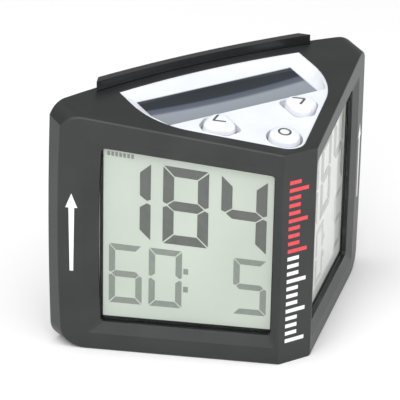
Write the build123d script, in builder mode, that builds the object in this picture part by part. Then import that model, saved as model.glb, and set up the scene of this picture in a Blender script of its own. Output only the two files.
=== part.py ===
"""Dual-display digital sailing compass on its slide-on mast bracket.

Millimetres. X runs across the case, +Y points to the mast behind it, +Z is up.
The origin is the middle of the underside.
"""
import os
from math import cos, radians, sin, sqrt, tan

from build123d import *

os.makedirs("parts", exist_ok=True)

# ---- Case -----------------------------------------------------------------
NOSE_WIDTH = 13.1
NOSE_HEIGHT = 75.0
FACE_ANGLE = 41.86
TOP_SLOPE = 10.27
CASE_WIDTH = 120.8
SIDE_BOW = 0.9
CASE_DEPTH = 60.3
REAR_RADIUS = 362.0
CORNER_RADIUS = 7.0
WALL = 2.5
COVER_THICKNESS = 4.1
EDGE_RADIUS = 0.7
SEAL_INSET = 0.7
SEAL_WIDTH = 1.1
SEAL_THICKNESS = 0.6
SPIGOT_GAP = 0.1
SPIGOT_WALL = 1.4
SPIGOT_LENGTH = 3.0

# ---- Display openings, measured along and up each display face -----------------
WINDOW_INNER = 2.7
WINDOW_OUTER = 59.5
WINDOW_BOTTOM = 10.0
WINDOW_TOP_INNER = 67.0
WINDOW_TOP_OUTER = 72.3
WINDOW_BOW = 0.8
WINDOW_CORNER = 1.6
RECESS_DEPTH = 1.2
RECESS_GROW = (2.1, 5.0, 4.0, 3.0)

# ---- Display stack, depths behind the face -------------------------------------
LENS_DEPTH = 1.5
LENS_FLANGE = 0.8
GLASS_THICKNESS = 1.7
REFLECTOR_THICKNESS = 0.2
STACK_GAP = 1.6
DISPLAY_BOARD_THICKNESS = 1.2
HOLDER_GROW = (1.0, 1.8, 2.2, 1.6)
GLASS_GROW = (0.2, 0.6, 0.6, 0.5)
BOARD_GROW = (1.0, 7.4, 2.2, 1.6)
BOARD_TAB = (8.0, 5.4)
BOARD_SCREWS = ((64.8, 17.0), (64.8, 66.0), BOARD_TAB)
RIBBON_WIDTH = 12.0
RIBBON_THICKNESS = 0.4
RIBBON_U = 42.0
RIBBON_LEAD = 3.0
RIBBON_BOTTOM = 30.0
BOARD_TAB_RADIUS = 2.3

# ---- Top panel, depths below the sloping top -------------------------------------
PANEL_BORDER = 4.4
PANEL_HALF_WIDTH = 35.8
PANEL_REAR = 54.7
PANEL_NOSE_RADIUS = 6.6
PANEL_SIDE_RADIUS = 28.0
PANEL_DROP = 0.3
PANEL_THICKNESS = 3.9
PANEL_FLANGE = 1.8
PANEL_REAR_FLANGE = 0.4
GASKET_THICKNESS = 0.5
TRAY_FRONT = 29.6
TRAY_REAR = 49.8
TRAY_HALF_WIDTH = 30.7
TRAY_DEPTH = 3.0
TRAY_LIP = 0.3
TRAY_SIDE_RIM = 0.5
TRAY_REAR_RIM = 0.6
TRAY_SIDE_RISE = 1.6
TRAY_SIDE_LENGTH = 14.0
TRAY_FLOOR_BOW = 0.2
SOLAR_LEDGE = 0.8
SOLAR_CELL_THICKNESS = 0.8

# ---- Keys -------------------------------------------------------------------------
GO_KEY = (0.0, 9.3)
ARROW_KEY = (16.1, 23.2)
KEY_WELL_GAP = 0.75
KEY_DOME_RADIUS = 5.3
KEY_HEIGHT = 1.9
KEY_FLANGE_WIDTH = 1.2
KEY_FLANGE_REAR = 5.75
KEY_FLANGE_THICKNESS = 0.8
KEY_GAP = 0.4
KEY_ROUNDING = 0.9
PLUNGER_RADIUS = 1.5
PLUNGER_LENGTH = 0.2
DOME_FOOT_RADIUS = 5.4
DOME_CROWN_RADIUS = 4.2
DOME_WALL = 0.6
SWITCH_SIZE = 5.0
SWITCH_HEIGHT = 0.6
KEY_BOARD_DEPTH = 5.9
KEY_BOARD_THICKNESS = 0.8
KEY_BOARD_NOSE = 3.5
KEY_BOARD_FRONT = 3.7
KEY_BOARD_HALF_WIDTH = 22.0
KEY_BOARD_SHOULDER = 20.3

# ---- Electronics and battery ----------------------------------------------------------
MAIN_BOARD_WIDTH = 80.0
MAIN_BOARD_BOTTOM = 8.0
MAIN_BOARD_TOP = 68.0
MAIN_BOARD_Y = 48.0
MAIN_BOARD_THICKNESS = 1.6
CHIP_PLACE = (-12.0, 22.0)
CHIP_SIZE = 12.0
CHIP_HEIGHT = 1.4
SENSOR_PLACE = (0.0, 60.0)
SENSOR_SIZE = (13.0, 10.0)
SENSOR_HEIGHT = 1.0
SENSOR_DIE = 4.0
SENSOR_DIE_PITCH = 6.0
SENSOR_DIE_HEIGHT = 1.2
CAPACITOR_X = (14.0, 22.5)
CAPACITOR_RADIUS = 3.0
CAPACITOR_HEIGHT = 6.0
CELL_RADIUS = 7.25
CELL_LENGTH = 50.0
CELL_PITCH = 15.2
CELL_Y = 33.0
TRAY_FLOOR = 1.5
TRAY_WALL = 1.2
TRAY_HEIGHT = 8.0
BAND_Z = 40.0
BAND_WIDTH = 8.0
BAND_THICKNESS = 0.6

# ---- Bracket ---------------------------------------------------------------------------
BRACKET_HALF_WIDTH = 42.5
BRACKET_THICKNESS = 3.0
BRACKET_SET_IN = 1.9
BRACKET_RISE = 2.5
BRACKET_SHOULDER = 4.0
BRACKET_STOP_HEIGHT = 5.0
DOVETAIL_SLOPE = 0.8
PAD_WIDTH = 70.0
PAD_BOTTOM = 10.0
PAD_TOP = 76.0
PAD_STAND = 2.2
MOUNT_SPACING_X = 50.0
MOUNT_SPACING_Z = 46.0
MOUNT_HOLE_RADIUS = 2.25
MOUNT_HEAD_RADIUS = 4.2
MOUNT_HEAD_DEPTH = 2.6

# ---- Fasteners and fits -----------------------------------------------------------------
SCREW_RADIUS = 1.1
SCREW_HEAD_RADIUS = 1.6
SCREW_HEAD_HEIGHT = 1.2
KEY_SCREW_LENGTH = 4.2
MAIN_SCREW_LENGTH = 7.0
BOSS_RADIUS = 2.5
KEY_POST_RADIUS = 2.0
FIT = 0.05
SLIDE_GAP = 0.3

# ---- Derived places -----------------------------------------------------------------------
NOSE_Y = -(CASE_DEPTH + PAD_STAND) / 2
TILT = radians(TOP_SLOPE)
TURN = radians(FACE_ANGLE)
CASE_TOP = NOSE_HEIGHT + CASE_DEPTH * tan(TILT)
MOUNT_MIDDLE_Z = (PAD_BOTTOM + PAD_TOP) / 2

BASE = Plane(origin=(0, NOSE_Y, 0))
FRONT = Plane(origin=(0, NOSE_Y, 0), x_dir=(1, 0, 0), z_dir=(0, -1, 0))
FACE = Plane(
    origin=(NOSE_WIDTH / 2, NOSE_Y, 0),
    x_dir=(cos(TURN), sin(TURN), 0),
    z_dir=(sin(TURN), -cos(TURN), 0),
)
TOP = Plane(
    origin=(0, NOSE_Y, NOSE_HEIGHT), x_dir=(1, 0, 0), z_dir=(0, -sin(TILT), cos(TILT))
)
TOP_END = Plane(
    origin=(0, NOSE_Y, NOSE_HEIGHT), x_dir=(1, 0, 0), z_dir=(0, -cos(TILT), -sin(TILT))
)

GLASS_DEPTH = WALL + LENS_FLANGE
HOLDER_DEPTH = GLASS_DEPTH + GLASS_THICKNESS
BOARD_DEPTH = HOLDER_DEPTH + STACK_GAP
BOARD_BACK = BOARD_DEPTH + DISPLAY_BOARD_THICKNESS
PANEL_BOTTOM = PANEL_DROP + PANEL_THICKNESS
FLANGE_TOP = WALL + GASKET_THICKNESS
KEY_FLANGE_DEPTH = FLANGE_TOP + 0.2
KEY_BOTTOM = KEY_FLANGE_DEPTH + KEY_FLANGE_THICKNESS
KEYS = {
    "go_key": GO_KEY,
    "left_key": (-ARROW_KEY[0], ARROW_KEY[1]),
    "right_key": ARROW_KEY,
}


def save(part, name):
    """Label a finished piece and write it to its own file."""
    part.label = name
    export_step(part, f"parts/{name}.step")


def on_slope(y):
    """Distance up the sloping top for a plan distance y behind the nose."""
    return y / cos(TILT)


def rear_arc_y(set_in, x):
    """Plan distance from the nose to the rear arc, set in by set_in, at x."""
    radius = REAR_RADIUS - set_in
    return CASE_DEPTH - REAR_RADIUS + sqrt(radius**2 - x**2)


def rear_circle(set_in):
    """Disc whose edge is the rear arc of the case, set in by set_in."""
    with BuildSketch(BASE) as disc:
        with Locations((0, CASE_DEPTH - REAR_RADIUS)):
            Circle(REAR_RADIUS - set_in)
    return disc.sketch


def housing_block(inset=0.0):
    """Outer form of the closed case, set in by inset on every side."""
    reach = CASE_WIDTH / 2 + 4
    face_y = (reach - NOSE_WIDTH / 2) * tan(TURN)
    with BuildPart() as block:
        with BuildSketch(BASE):
            with BuildLine():
                Polyline(
                    (-reach, rear_arc_y(0, reach)),
                    (-reach, face_y),
                    (-NOSE_WIDTH / 2, 0),
                    (NOSE_WIDTH / 2, 0),
                    (reach, face_y),
                    (reach, rear_arc_y(0, reach)),
                )
                ThreePointArc(
                    (reach, rear_arc_y(0, reach)),
                    (0, CASE_DEPTH),
                    (-reach, rear_arc_y(0, reach)),
                )
            make_face()
            if inset:
                offset(amount=-inset, kind=Kind.INTERSECTION)
        extrude(amount=CASE_TOP + 10)
        with BuildSketch(FRONT) as sides:
            with BuildLine():
                side = CASE_WIDTH / 2
                Polyline(
                    (-side, CASE_TOP), (-side, 2 * CASE_TOP), (side, 2 * CASE_TOP), (side, CASE_TOP)
                )
                ThreePointArc((side, CASE_TOP), (side + SIDE_BOW, CASE_TOP / 2), (side, 0))
                Line((side, 0), (-side, 0))
                ThreePointArc((-side, 0), (-side - SIDE_BOW, CASE_TOP / 2), (-side, CASE_TOP))
            make_face()
            fillet(sides.vertices().group_by(Axis.Y)[0], CORNER_RADIUS)
            if inset:
                offset(amount=-inset, kind=Kind.INTERSECTION)
        extrude(amount=-2 * CASE_DEPTH, mode=Mode.INTERSECT)
        with BuildSketch(TOP_END) as crown:
            Rectangle(CASE_WIDTH + 2 * SIDE_BOW, 2 * CASE_TOP, align=(Align.CENTER, Align.MAX))
            fillet(crown.vertices().group_by(Axis.Y)[-1], CORNER_RADIUS)
            if inset:
                offset(amount=-inset, kind=Kind.INTERSECTION)
        extrude(amount=2 * CASE_DEPTH, both=True, mode=Mode.INTERSECT)
    return block.part


def face_outline(depth, grow=(0, 0, 0, 0), corner=WINDOW_CORNER):
    """Outline of a display opening at a depth behind the face, let out by
    grow = (towards the nose, outwards, down, up)."""
    inner = WINDOW_INNER - grow[0]
    outer = WINDOW_OUTER + grow[1]
    bottom = WINDOW_BOTTOM - grow[2]
    rise = (WINDOW_TOP_OUTER - WINDOW_TOP_INNER) / (WINDOW_OUTER - WINDOW_INNER)
    top_inner = WINDOW_TOP_INNER + grow[3] - rise * grow[0]
    top_outer = WINDOW_TOP_OUTER + grow[3] + rise * grow[1]
    with BuildSketch(FACE.offset(-depth)) as outline:
        with BuildLine():
            Polyline((outer, top_outer), (inner, top_inner), (inner, bottom), (outer, bottom))
            ThreePointArc(
                (outer, bottom),
                (outer + WINDOW_BOW, (bottom + top_outer) / 2),
                (outer, top_outer),
            )
        make_face()
        if corner:
            fillet(outline.vertices(), corner)
    return outline.sketch


def face_slab(depth, thickness, grow, corner=WINDOW_CORNER):
    """Plate with the outline of a display opening."""
    with BuildPart() as slab:
        extrude(face_outline(depth, grow, corner), amount=-thickness)
    return slab.part


def panel_outline(depth, grow=0.0):
    """Outline of the top panel at a depth below the top, let out by grow and
    left open-ended at the back."""
    apex = (PANEL_BORDER - NOSE_WIDTH / 2 * sin(TURN)) / cos(TURN)
    shoulder = apex + PANEL_HALF_WIDTH * tan(TURN)
    with BuildSketch(TOP.offset(-depth)) as outline:
        with BuildLine():
            Polyline(
                (-PANEL_HALF_WIDTH, on_slope(CASE_DEPTH + WALL)),
                (-PANEL_HALF_WIDTH, on_slope(shoulder)),
                (0, on_slope(apex)),
                (PANEL_HALF_WIDTH, on_slope(shoulder)),
                (PANEL_HALF_WIDTH, on_slope(CASE_DEPTH + WALL)),
                close=True,
            )
        make_face()
        fillet(outline.vertices().group_by(Axis.Y)[0], PANEL_NOSE_RADIUS)
        fillet(outline.vertices().group_by(Axis.Y)[-2], PANEL_SIDE_RADIUS)
        if grow:
            offset(amount=grow, kind=Kind.INTERSECTION)
    return outline.sketch


def panel_slab(depth, thickness, grow=0.0, rear=0.0):
    """Plate with the outline of the top panel, let out by grow on the nose and
    sides and by rear at the back. Below the wall it stays inside the cavity."""
    with BuildPart() as slab:
        extrude(panel_outline(depth, grow), amount=-thickness)
        extrude(
            rear_circle(CASE_DEPTH - PANEL_REAR - rear), amount=2 * CASE_TOP, mode=Mode.INTERSECT
        )
        if depth >= WALL:
            add(inner_space, mode=Mode.INTERSECT)
    return slab.part


def post(plane, radius, length):
    """Round post that starts on plane and runs against its normal."""
    with BuildPart(plane) as one:
        Cylinder(radius, length, align=(Align.CENTER, Align.CENTER, Align.MAX))
    return one.part


def screw(plane, length, sunk=False):
    """Screw whose head's outer face lies on plane, with a cross recess."""
    top = (Align.CENTER, Align.CENTER, Align.MAX)
    with BuildPart(plane) as one:
        if sunk:
            Cone(SCREW_RADIUS, SCREW_HEAD_RADIUS + 0.5, SCREW_HEAD_HEIGHT, align=top)
        else:
            Cylinder(SCREW_HEAD_RADIUS, SCREW_HEAD_HEIGHT, align=top)
        Cylinder(SCREW_RADIUS, length, align=top)
        Box(2.2, 0.5, 0.6, align=top, mode=Mode.SUBTRACT)
        Box(0.5, 2.2, 0.6, align=top, mode=Mode.SUBTRACT)
    return one.part


def joined(parts):
    """Several separate solids as one part."""
    with BuildPart() as group:
        for part in parts:
            add(part)
    return group.part


def face_point(u, v, depth):
    """Plane parallel to the display face at a point on it."""
    plane = FACE.offset(-depth)
    return Plane(origin=plane.from_local_coords((u, v, 0)), x_dir=plane.x_dir, z_dir=plane.z_dir)


def top_point(x, y, depth):
    """Plane parallel to the sloping top at a plan point."""
    plane = TOP.offset(-depth)
    return Plane(
        origin=plane.from_local_coords((x, on_slope(y), 0)), x_dir=plane.x_dir, z_dir=plane.z_dir
    )


def rear_point(x, z, set_in):
    """Plane that faces the mast, on the rear arc set in by set_in."""
    return Plane(
        origin=(x, NOSE_Y + rear_arc_y(set_in, x), z), x_dir=(-1, 0, 0), z_dir=(0, 1, 0)
    )


def flipped(plane):
    """The same plane, facing the other way."""
    return Plane(origin=plane.origin, x_dir=plane.x_dir, z_dir=-plane.z_dir)


def both_sides(part, name):
    """Write a right-hand display piece and its mirror image."""
    save(part, f"right_{name}")
    save(mirror(part, about=Plane.YZ), f"left_{name}")


# ---- Fastening points ---------------------------------------------------------------------
COVER_BOSS_LOW = 4.9
COVER_BOSS_HIGH = CASE_TOP - 6.4
COVER_BOSS_X = 53.0
COVER_POINTS = (
    (-COVER_BOSS_X, COVER_BOSS_LOW),
    (COVER_BOSS_X, COVER_BOSS_LOW),
    (-COVER_BOSS_X, COVER_BOSS_HIGH),
    (COVER_BOSS_X, COVER_BOSS_HIGH),
    (-20.0, COVER_BOSS_LOW),
    (20.0, COVER_BOSS_LOW),
)
COVER_BOSS_LENGTH = 6.0
COVER_SCREW_LENGTH = 8.5
DISPLAY_SCREW_LENGTH = 4.0
MAIN_BOARD_POINTS = [
    (side * (MAIN_BOARD_WIDTH / 2 - 4), z)
    for side in (-1, 1)
    for z in (MAIN_BOARD_BOTTOM + 4, MAIN_BOARD_TOP - 4)
]
KEY_BOARD_POINTS = ((-8.2, 16.2), (8.2, 16.2), (0.0, 26.0))
MAIN_BOARD_BACK = MAIN_BOARD_Y + MAIN_BOARD_THICKNESS

outer = housing_block()
cavity = housing_block(WALL)
inner_space = housing_block(WALL + FIT)



def display_opening():
    """Space of the right-hand display opening: sloped recess, then straight."""
    with BuildPart() as opening:
        loft([face_outline(0, RECESS_GROW).face(), face_outline(RECESS_DEPTH).face()])
        extrude(face_outline(RECESS_DEPTH), amount=-WALL)
    return opening.part


def face_bosses():
    """Posts behind the right-hand display face that carry its board."""
    return joined(
        post(face_point(u, v, WALL - FIT), SCREW_HEAD_RADIUS + 0.3, BOARD_DEPTH - WALL + FIT)
        for u, v in BOARD_SCREWS
    )


def face_screws():
    """Screws of the right-hand display board."""
    return joined(
        screw(flipped(face_point(u, v, BOARD_BACK + SCREW_HEAD_HEIGHT)), DISPLAY_SCREW_LENGTH)
        for u, v in BOARD_SCREWS
    )


def tray_space():
    """Space of the sunken solar tray: mitred slopes at the sides and the back."""
    mouth = TOP.offset(-PANEL_DROP)
    floor = TOP.offset(-PANEL_DROP - TRAY_DEPTH)
    front = on_slope(TRAY_FRONT)
    rear = on_slope(PANEL_REAR)
    half = PANEL_HALF_WIDTH - TRAY_SIDE_RIM
    corner = rear - TRAY_REAR_RIM - TRAY_SIDE_RISE
    knee = rear - TRAY_SIDE_LENGTH
    with BuildPart() as space:
        with BuildSketch(mouth) as wide:
            with BuildLine():
                Polyline(
                    (-half, corner),
                    (-half, knee),
                    (-TRAY_HALF_WIDTH - TRAY_LIP, front),
                    (TRAY_HALF_WIDTH + TRAY_LIP, front),
                    (half, knee),
                    (half, corner),
                    (0, rear - TRAY_REAR_RIM),
                    close=True,
                )
            make_face()
        with BuildSketch(floor) as deep:
            with BuildLine():
                Polyline(
                    (-TRAY_HALF_WIDTH, on_slope(TRAY_REAR)),
                    (-TRAY_HALF_WIDTH, knee - 1),
                    (-TRAY_HALF_WIDTH, front),
                    (TRAY_HALF_WIDTH, front),
                    (TRAY_HALF_WIDTH, knee - 1),
                    (TRAY_HALF_WIDTH, on_slope(TRAY_REAR)),
                    (0, on_slope(TRAY_REAR) + TRAY_FLOOR_BOW),
                    close=True,
                )
            make_face()
        loft([wide.sketch.face(), deep.sketch.face()], ruled=True)
    return space.part


def solar_rectangle(depth, grow, thickness):
    """Plate under the tray with the outline of its floor, let out by grow at
    the sides and the back."""
    front = on_slope(TRAY_FRONT)
    rear = on_slope(TRAY_REAR) + grow
    with BuildPart() as plate:
        with BuildSketch(TOP.offset(-depth)):
            with Locations((0, (front + rear) / 2)):
                Rectangle(2 * (TRAY_HALF_WIDTH + grow), rear - front)
        extrude(amount=-thickness)
    return plate.part


def key_outline(x, y, depth, grow=0.0):
    """Outline of a key at a depth below the top, let out by grow: round for the
    middle key, a rounded triangle that points outwards for the arrow keys."""
    radius = KEY_DOME_RADIUS
    with BuildSketch(top_point(x, y, depth)) as outline:
        if x == 0:
            Circle(radius)
        else:
            side = radius if x > 0 else -radius
            with BuildLine():
                Polyline(
                    (-0.95 * side, 0.95 * radius),
                    (-0.95 * side, -0.9 * radius),
                    (0.15 * side, -1.05 * radius),
                    (1.1 * side, -0.1 * radius),
                    (1.0 * side, 0.5 * radius),
                    (0.35 * side, 0.98 * radius),
                    close=True,
                )
            make_face()
            fillet(outline.vertices(), 0.3 * radius)
        if grow:
            offset(amount=grow)
    return outline.sketch


def key_flange(x, y, depth, gap, thickness):
    """Plate of a key's flange, let out by gap, cut off short of the solar tray."""
    with BuildPart() as plate:
        extrude(key_outline(x, y, depth, KEY_FLANGE_WIDTH + gap), amount=-thickness)
        with BuildSketch(top_point(x, y, depth)):
            with Locations((0, KEY_FLANGE_REAR + gap)):
                Rectangle(
                    4 * KEY_DOME_RADIUS, 2 * KEY_DOME_RADIUS, align=(Align.CENTER, Align.MIN)
                )
        extrude(amount=-thickness, mode=Mode.SUBTRACT)
    return plate.part


def key_cap(x, y):
    """One key cap: domed top, stem and the flange that holds it captive."""
    with BuildPart() as cap:
        extrude(key_outline(x, y, 0), amount=KEY_HEIGHT)
        fillet(cap.faces().sort_by(Axis.Z)[-1].edges(), KEY_ROUNDING)
        extrude(key_outline(x, y, 0), amount=-KEY_FLANGE_DEPTH)
        add(key_flange(x, y, KEY_FLANGE_DEPTH, 0, KEY_FLANGE_THICKNESS))
        add(post(top_point(x, y, KEY_BOTTOM), PLUNGER_RADIUS, PLUNGER_LENGTH))
    return cap.part


def key_dome(x, y):
    """Silicone return dome: a hollow cone between the cap's flange and the board."""
    with BuildPart(top_point(x, y, KEY_BOTTOM)) as dome:
        height = KEY_BOARD_DEPTH - KEY_BOTTOM
        top = (Align.CENTER, Align.CENTER, Align.MAX)
        Cone(DOME_FOOT_RADIUS, DOME_CROWN_RADIUS, height, align=top)
        Cone(
            DOME_FOOT_RADIUS - DOME_WALL,
            DOME_CROWN_RADIUS - DOME_WALL,
            height,
            align=top,
            mode=Mode.SUBTRACT,
        )
    return dome.part


def cell(x):
    """One rechargeable cell standing on the tray, with its raised terminal."""
    low = (Align.CENTER, Align.CENTER, Align.MIN)
    floor = WALL + TRAY_FLOOR
    with BuildPart(Plane(origin=(x, NOSE_Y + CELL_Y, floor))) as one:
        Cylinder(CELL_RADIUS, CELL_LENGTH, align=low)
        Cylinder(2.7, CELL_LENGTH + 1.2, align=low)
    return one.part


def battery_slot(grow, z):
    """Outline round the row of cells at height z, let out by grow."""
    with BuildSketch(BASE.offset(z)) as slot:
        with Locations((0, CELL_Y)):
            SlotCenterToCenter(2 * CELL_PITCH, 2 * (CELL_RADIUS + grow))
    return slot.sketch


def bracket_section(gap, shoulder):
    """Plan section of the bracket's bowed plate, let out by gap: a dovetail
    that narrows towards the mast, with shoulders where shoulder is not zero."""
    half = BRACKET_HALF_WIDTH + shoulder + gap
    edge_y = rear_arc_y(BRACKET_SET_IN, BRACKET_HALF_WIDTH)
    reach = 10.0
    with BuildSketch(BASE) as section:
        with BuildLine():
            Polyline(
                (-half - reach * DOVETAIL_SLOPE, edge_y - reach),
                (half + reach * DOVETAIL_SLOPE, edge_y - reach),
                (half - reach * DOVETAIL_SLOPE, edge_y + reach),
                (-half + reach * DOVETAIL_SLOPE, edge_y + reach),
                close=True,
            )
        make_face()
        with Locations((0, CASE_DEPTH - REAR_RADIUS)):
            Circle(REAR_RADIUS - BRACKET_SET_IN - gap, mode=Mode.SUBTRACT)
    return section.sketch


def cylinder_block(set_in, height):
    """Solid in front of the rear arc set in by set_in."""
    with BuildPart() as block:
        extrude(rear_circle(set_in), amount=height)
    return block.part


# ---- Shared solids ------------------------------------------------------------------------
TALL = 2 * CASE_TOP
outer = housing_block()
cavity = housing_block(WALL)
inner_space = housing_block(WALL + FIT)
opening = display_opening()
bosses = face_bosses()
ahead_of_split = cylinder_block(COVER_THICKNESS, TALL)
left_opening = mirror(opening, about=Plane.YZ)
left_bosses = mirror(bosses, about=Plane.YZ)
cover_bosses = joined(
    post(rear_point(x, z, COVER_THICKNESS), BOSS_RADIUS, COVER_BOSS_LENGTH) for x, z in COVER_POINTS
)
seal_outside = housing_block(SEAL_INSET)
seal_inside = housing_block(SEAL_INSET + SEAL_WIDTH)

# ---- Gasket between the shell and the rear cover ---------------------------------------------
with BuildPart() as rear_gasket:
    add(seal_outside)
    add(seal_inside, mode=Mode.SUBTRACT)
    add(ahead_of_split, mode=Mode.INTERSECT)
    add(cylinder_block(COVER_THICKNESS + SEAL_THICKNESS, TALL), mode=Mode.SUBTRACT)
save(rear_gasket.part, "rear_gasket")

# ---- Front shell: the black housing with its two display openings ---------------------------
with BuildPart() as front_shell:
    add(outer)
    rims = front_shell.faces().filter_by(
        lambda face: face.geom_type == GeomType.PLANE
        and abs(abs(face.normal_at().X) - sin(TURN)) < 0.01
        and abs(face.normal_at().Z) < 0.01
    )
    fillet(rims.edges(), EDGE_RADIUS)
    add(cavity, mode=Mode.SUBTRACT)
    add(cover_bosses)
    add(outer, mode=Mode.INTERSECT)
    add(ahead_of_split, mode=Mode.INTERSECT)
    add(opening, mode=Mode.SUBTRACT)
    add(left_opening, mode=Mode.SUBTRACT)
    add(bosses)
    add(left_bosses)
    add(panel_slab(-WALL, 2 * WALL, 0, 0), mode=Mode.SUBTRACT)
    add(rear_gasket.part, mode=Mode.SUBTRACT)
    for x, z in COVER_POINTS:
        hole = post(rear_point(x, z, 0), SCREW_RADIUS + FIT, COVER_SCREW_LENGTH + 0.3)
        add(hole, mode=Mode.SUBTRACT)
    for u, v in BOARD_SCREWS:
        hole = post(face_point(u, v, WALL + 0.6), SCREW_RADIUS + FIT, BOARD_DEPTH)
        add(hole, mode=Mode.SUBTRACT)
        add(mirror(hole, about=Plane.YZ), mode=Mode.SUBTRACT)
save(front_shell.part, "front_shell")

# ---- Rear cover with the bracket's channel ---------------------------------------------------
cover_screw_seats = [rear_point(x, z, 0) for x, z in COVER_POINTS[:4]]
cover_screw_seats += [rear_point(x, z, BRACKET_SET_IN + SLIDE_GAP) for x, z in COVER_POINTS[4:]]
cover_screw_set = joined(screw(seat, COVER_SCREW_LENGTH - 2, sunk=True) for seat in cover_screw_seats)
with BuildPart() as spigot:
    add(housing_block(WALL + SPIGOT_GAP))
    add(housing_block(WALL + SPIGOT_GAP + SPIGOT_WALL), mode=Mode.SUBTRACT)
    add(cylinder_block(COVER_THICKNESS + SPIGOT_LENGTH, TALL), mode=Mode.SUBTRACT)
    add(ahead_of_split, mode=Mode.INTERSECT)
    with BuildSketch(Plane.XY.offset(CASE_TOP / 2)):
        Rectangle(2 * (PANEL_HALF_WIDTH + 2 * PANEL_FLANGE), 4 * CASE_DEPTH)
    extrude(amount=CASE_TOP, mode=Mode.SUBTRACT)
    for x, z in COVER_POINTS:
        clear = post(rear_point(x, z, 0), BOSS_RADIUS + SLIDE_GAP, 4 * COVER_THICKNESS)
        add(clear, mode=Mode.SUBTRACT)
main_board_posts = joined(
    post(Plane(origin=(x, NOSE_Y + rear_arc_y(COVER_THICKNESS, x) + 1, z), z_dir=(0, 1, 0)),
         BOSS_RADIUS, rear_arc_y(COVER_THICKNESS, x) + 1 - MAIN_BOARD_BACK)
    for x, z in MAIN_BOARD_POINTS
)
with BuildPart() as rear_cover:
    add(outer)
    add(ahead_of_split, mode=Mode.SUBTRACT)
    extrude(bracket_section(SLIDE_GAP, 0), amount=TALL, mode=Mode.SUBTRACT)
    extrude(
        bracket_section(SLIDE_GAP, BRACKET_SHOULDER), amount=BRACKET_STOP_HEIGHT, mode=Mode.SUBTRACT
    )
    add(spigot.part)
    add(main_board_posts)
    add(cover_screw_set, mode=Mode.SUBTRACT)
    for x, z in MAIN_BOARD_POINTS:
        hole = post(
            Plane(origin=(x, NOSE_Y + rear_arc_y(COVER_THICKNESS, x) - 0.5, z), z_dir=(0, 1, 0)),
            SCREW_RADIUS + FIT,
            COVER_THICKNESS + WALL,
        )
        add(hole, mode=Mode.SUBTRACT)
save(rear_cover.part, "rear_cover")
save(cover_screw_set, "cover_screws")

# ---- Top panel, its gasket, the solar window and the cell -------------------------------------
with BuildPart() as top_panel:
    add(panel_slab(PANEL_DROP, WALL + FIT - PANEL_DROP, -FIT, -FIT))
    add(panel_slab(WALL, PANEL_BOTTOM - WALL, -FIT, -FIT))
    add(panel_slab(FLANGE_TOP, PANEL_BOTTOM - FLANGE_TOP, PANEL_FLANGE, PANEL_REAR_FLANGE))
    add(tray_space(), mode=Mode.SUBTRACT)
    add(solar_rectangle(PANEL_DROP, 0, PANEL_THICKNESS + 1), mode=Mode.SUBTRACT)
    add(
        solar_rectangle(PANEL_DROP + TRAY_DEPTH + TRAY_LIP, SOLAR_LEDGE, PANEL_THICKNESS),
        mode=Mode.SUBTRACT,
    )
    for x, y in KEY_BOARD_POINTS:
        add(post(top_point(x, y, PANEL_BOTTOM - FIT), KEY_POST_RADIUS, KEY_BOARD_DEPTH - PANEL_BOTTOM + FIT))
    for x, y in KEY_BOARD_POINTS:
        hole = post(top_point(x, y, FLANGE_TOP), SCREW_RADIUS + FIT, KEY_BOARD_DEPTH)
        add(hole, mode=Mode.SUBTRACT)
    for x, y in KEYS.values():
        extrude(key_outline(x, y, 0, KEY_WELL_GAP), amount=-2 * PANEL_BOTTOM, mode=Mode.SUBTRACT)
        add(key_flange(x, y, FLANGE_TOP, KEY_GAP, PANEL_THICKNESS), mode=Mode.SUBTRACT)
save(top_panel.part, "top_panel")

with BuildPart() as top_panel_gasket:
    add(panel_slab(WALL, GASKET_THICKNESS, PANEL_FLANGE, PANEL_REAR_FLANGE))
    add(panel_slab(WALL - 1, GASKET_THICKNESS + 2, 0, 0), mode=Mode.SUBTRACT)
save(top_panel_gasket.part, "top_panel_gasket")

solar_depth = PANEL_DROP + TRAY_DEPTH + TRAY_LIP
save(solar_rectangle(solar_depth, SOLAR_LEDGE - FIT, PANEL_BOTTOM - solar_depth), "solar_window")
save(solar_rectangle(PANEL_BOTTOM, 2 * SOLAR_LEDGE, SOLAR_CELL_THICKNESS), "solar_cell")

# ---- Keys, return domes, switches and the key board ------------------------------------------
for key_name, (x, y) in KEYS.items():
    save(key_cap(x, y), key_name)
    save(key_dome(x, y), key_name.replace("key", "dome"))

with BuildPart() as key_switches:
    for x, y in KEYS.values():
        with BuildSketch(top_point(x, y, KEY_BOARD_DEPTH)):
            Rectangle(SWITCH_SIZE, SWITCH_SIZE)
        extrude(amount=SWITCH_HEIGHT * 0.6)
        with BuildSketch(top_point(x, y, KEY_BOARD_DEPTH)):
            Circle(SWITCH_SIZE / 4)
        extrude(amount=SWITCH_HEIGHT)
save(key_switches.part, "key_switches")

with BuildPart() as key_board:
    with BuildSketch(TOP.offset(-KEY_BOARD_DEPTH)):
        with BuildLine():
            Polyline(
                (-KEY_BOARD_NOSE, on_slope(KEY_BOARD_FRONT)),
                (KEY_BOARD_NOSE, on_slope(KEY_BOARD_FRONT)),
                (KEY_BOARD_HALF_WIDTH, on_slope(KEY_BOARD_SHOULDER)),
                (KEY_BOARD_HALF_WIDTH, on_slope(TRAY_FRONT)),
                (-KEY_BOARD_HALF_WIDTH, on_slope(TRAY_FRONT)),
                (-KEY_BOARD_HALF_WIDTH, on_slope(KEY_BOARD_SHOULDER)),
                close=True,
            )
        make_face()
    extrude(amount=-KEY_BOARD_THICKNESS)
    for x, y in KEY_BOARD_POINTS:
        hole = post(top_point(x, y, PANEL_BOTTOM), SCREW_RADIUS + FIT, 2 * PANEL_BOTTOM)
        add(hole, mode=Mode.SUBTRACT)
save(key_board.part, "key_board")

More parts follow.
